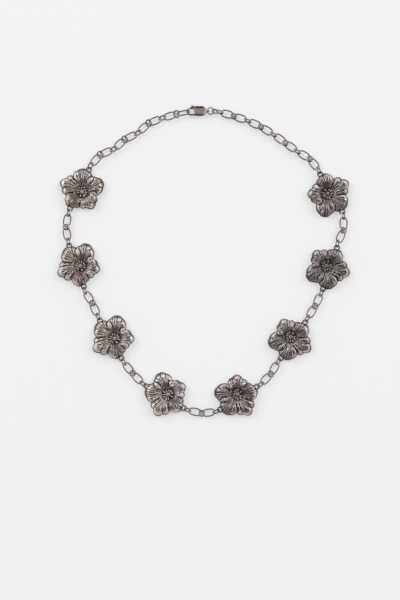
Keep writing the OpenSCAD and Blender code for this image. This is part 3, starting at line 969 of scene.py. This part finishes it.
class NECKLACE_OT_flowers(bpy.types.Operator):
    """Make the eight cast flowers with their stamens and eyelets"""

    bl_idname = "necklace.flowers"
    bl_label = "Make flowers"

    def execute(self, context):
        sizes, look = context.scene.necklace_flowers, context.scene.necklace_finish
        shapes = [casting(sizes.crest / MM, sizes.vein / MM)]
        shapes += [stamen(way, far, sizes.stamen / MM / 2) for way, far in STAMENS]
        for way, far in EYELETS:
            shapes += eyelet(way, far)
        finish = silver_finish("oxidised cast silver", look, look.gloss)
        for k, (x, y, turn, bright) in enumerate(FLOWERS, 1):
            own = [placed(shape, turn, (x, y, 0)) for shape in shapes]
            points = np.concatenate([shape[0] for shape in own])
            make_piece(f"cast_flower_{k}", own, finish, "necklace", [f"flower_{k}"],
                       tarnish_and_painted_light_of(k, points, (x, y), turn, bright))
        return {"FINISHED"}


class NECKLACE_OT_chain(bpy.types.Operator):
    """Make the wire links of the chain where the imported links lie"""

    bl_idname = "necklace.chain"
    bl_label = "Make chain"

    def execute(self, context):
        look = context.scene.necklace_finish
        finish = silver_finish("drawn silver wire", look, look.gloss - 0.04)
        for start, wire, end, kind in LINKS:
            for node in [n for n in frame["nodes"] if n.startswith(start)]:
                shapes = [wire_link(*lie_of(points), wire, end) for points in loose_solids(node)]
                make_piece("wire_" + node, shapes, finish, "necklace", [node], WARM)
        (points,) = loose_solids("jump_ring")
        middle, _, length, _ = lie_of(points)
        ring = (length / 2 - JUMP_WIRE) * circle(64) + middle
        shape = tube(ring, JUMP_WIRE, (0, 0, 1), True)
        make_piece("wire_jump_ring", [shape], finish, "necklace", ["jump_ring"],
                   WARM)
        return {"FINISHED"}


class NECKLACE_OT_clasp(bpy.types.Operator):
    """Make the lobster clasp: body with hook and tail ring, and the lever"""

    bl_idname = "necklace.clasp"
    bl_label = "Make clasp"

    def execute(self, context):
        look = context.scene.necklace_finish
        finish = silver_finish("clasp silver", look, look.gloss - 0.05)
        at = np.array(frame["joints"][0]["pos_m"]) / MM - (*PIVOT, 0)
        low, high, bulge = -CHEEK_HEIGHT, CHEEK_HEIGHT, CHEEK_BULGE
        tail = TAIL_RADIUS * circle(40)[:, [0, 2, 1]] + TAIL
        dome = np.linspace(0.5, 1.62, 8)
        wide = PIN_RADIUS * rounded((dome - 1.42) / 0.2, 0.02)
        body = [
            plate(CHEEK, (1.5, 0.0), high, high, (0, bulge), 0.70),
            plate(CHEEK, (1.5, 0.0), low, low, (bulge, 0), 0.5),
            plate(CORE, (2.4, -0.6), low, high, (0.01, 0.01), 0.3, soft=1),
            hook(),
            tube(tail, TAIL_WIRE, (0, 1, 0), True, shine=0.34),
            post(PIVOT, dome, wide, 0.75),
            post(PIVOT, -dome, wide, 0.5),
        ]
        hue = clasp_hue(np.concatenate([shape[0] for shape in body]))
        make_piece("clasp_with_hook", [placed(with_tarnish_and_painted_light(shape), 0, at) for shape in body], finish,
                   "necklace", ["clasp_body"], hue)
        lever = plate(LEVER, (-1.5, 1.9), -0.3, 0.3, (0.28, 0.28), 0.50, soft=1)
        make_piece("sprung_lever", [placed(lever, 0, at)], finish, "lever", ["clasp_lever"],
                   (1.06, 0.94, 0.88))
        return {"FINISHED"}


class NECKLACE_OT_stage(bpy.types.Operator):
    """Make the pale floor, the soft lights and the camera straight above"""

    bl_idname = "necklace.stage"
    bl_label = "Make stage"

    def execute(self, context):
        stage, scene = context.scene.necklace_stage, context.scene
        mesh = bpy.data.meshes.new("pale_floor")
        rim = FLOOR_RADIUS * circle(64)
        mesh.from_pydata(rim.tolist(), [], [list(range(64))])
        mesh.materials.append(floor_finish(stage.floor, stage.glow))
        floor = bpy.data.objects.new("pale_floor", mesh)
        scene.collection.objects.link(floor)
        lamps = [
            ("key_light", (-1.50, 1.00, 1.50), 1.30, stage.key),
            ("fill_light", (1.60, 0.80, 1.40), 1.30, stage.fill),
        ]
        for name, place, size, power in lamps:
            light = bpy.data.lights.new(name, "AREA")
            light.shape, light.size, light.energy = "DISK", size, power
            lamp = bpy.data.objects.new(name, light)
            lamp.location = place
            lamp.rotation_euler = (-Vector(place)).to_track_quat("-Z", "Y").to_euler()
            scene.collection.objects.link(lamp)
        scene.world = even_surround(stage.sky)
        scene.view_settings.view_transform = "Standard"
        eye = bpy.data.cameras.new("camera")
        eye.lens, eye.sensor_width = 85, 36
        eye.clip_start, eye.clip_end = 0.01, 20
        camera = bpy.data.objects.new("camera", eye)
        x, y = PICTURE_MIDDLE
        camera.location = (x * MM, y * MM, CHAIN_HEIGHT * MM + stage.height)
        scene.collection.objects.link(camera)
        scene.camera = camera
        return {"FINISHED"}


class NECKLACE_PT_panel(bpy.types.Panel):
    """Sizes, colours and operators of the necklace"""

    bl_idname = "NECKLACE_PT_panel"
    bl_label = "Flower collar necklace"
    bl_space_type = "VIEW_3D"
    bl_region_type = "UI"
    bl_category = "Necklace"

    def draw(self, context):
        for group in GROUPS:
            settings = getattr(context.scene, group)
            for name in settings.__annotations__:
                self.layout.prop(settings, name)
        for operator in OPERATORS:
            self.layout.operator(operator.bl_idname)


GROUPS = {
    "necklace_flowers": NecklaceFlowers,
    "necklace_finish": NecklaceFinish,
    "necklace_stage": NecklaceStage,
}
OPERATORS = [NECKLACE_OT_flowers, NECKLACE_OT_chain, NECKLACE_OT_clasp, NECKLACE_OT_stage]
CLASSES = [*GROUPS.values(), *OPERATORS, NECKLACE_PT_panel]


def register():
    for cls in CLASSES:
        bpy.utils.register_class(cls)
    for name, group in GROUPS.items():
        setattr(bpy.types.Scene, name, bpy.props.PointerProperty(type=group))


def unregister():
    for name in GROUPS:
        delattr(bpy.types.Scene, name)
    for cls in reversed(CLASSES):
        bpy.utils.unregister_class(cls)


def main():
    """Register the classes, then make the stage and every piece in turn."""
    register()
    bpy.ops.necklace.stage()
    bpy.ops.necklace.flowers()
    bpy.ops.necklace.chain()
    bpy.ops.necklace.clasp()
    bpy.context.view_layer.update()


if __name__ == "__main__":
    main()
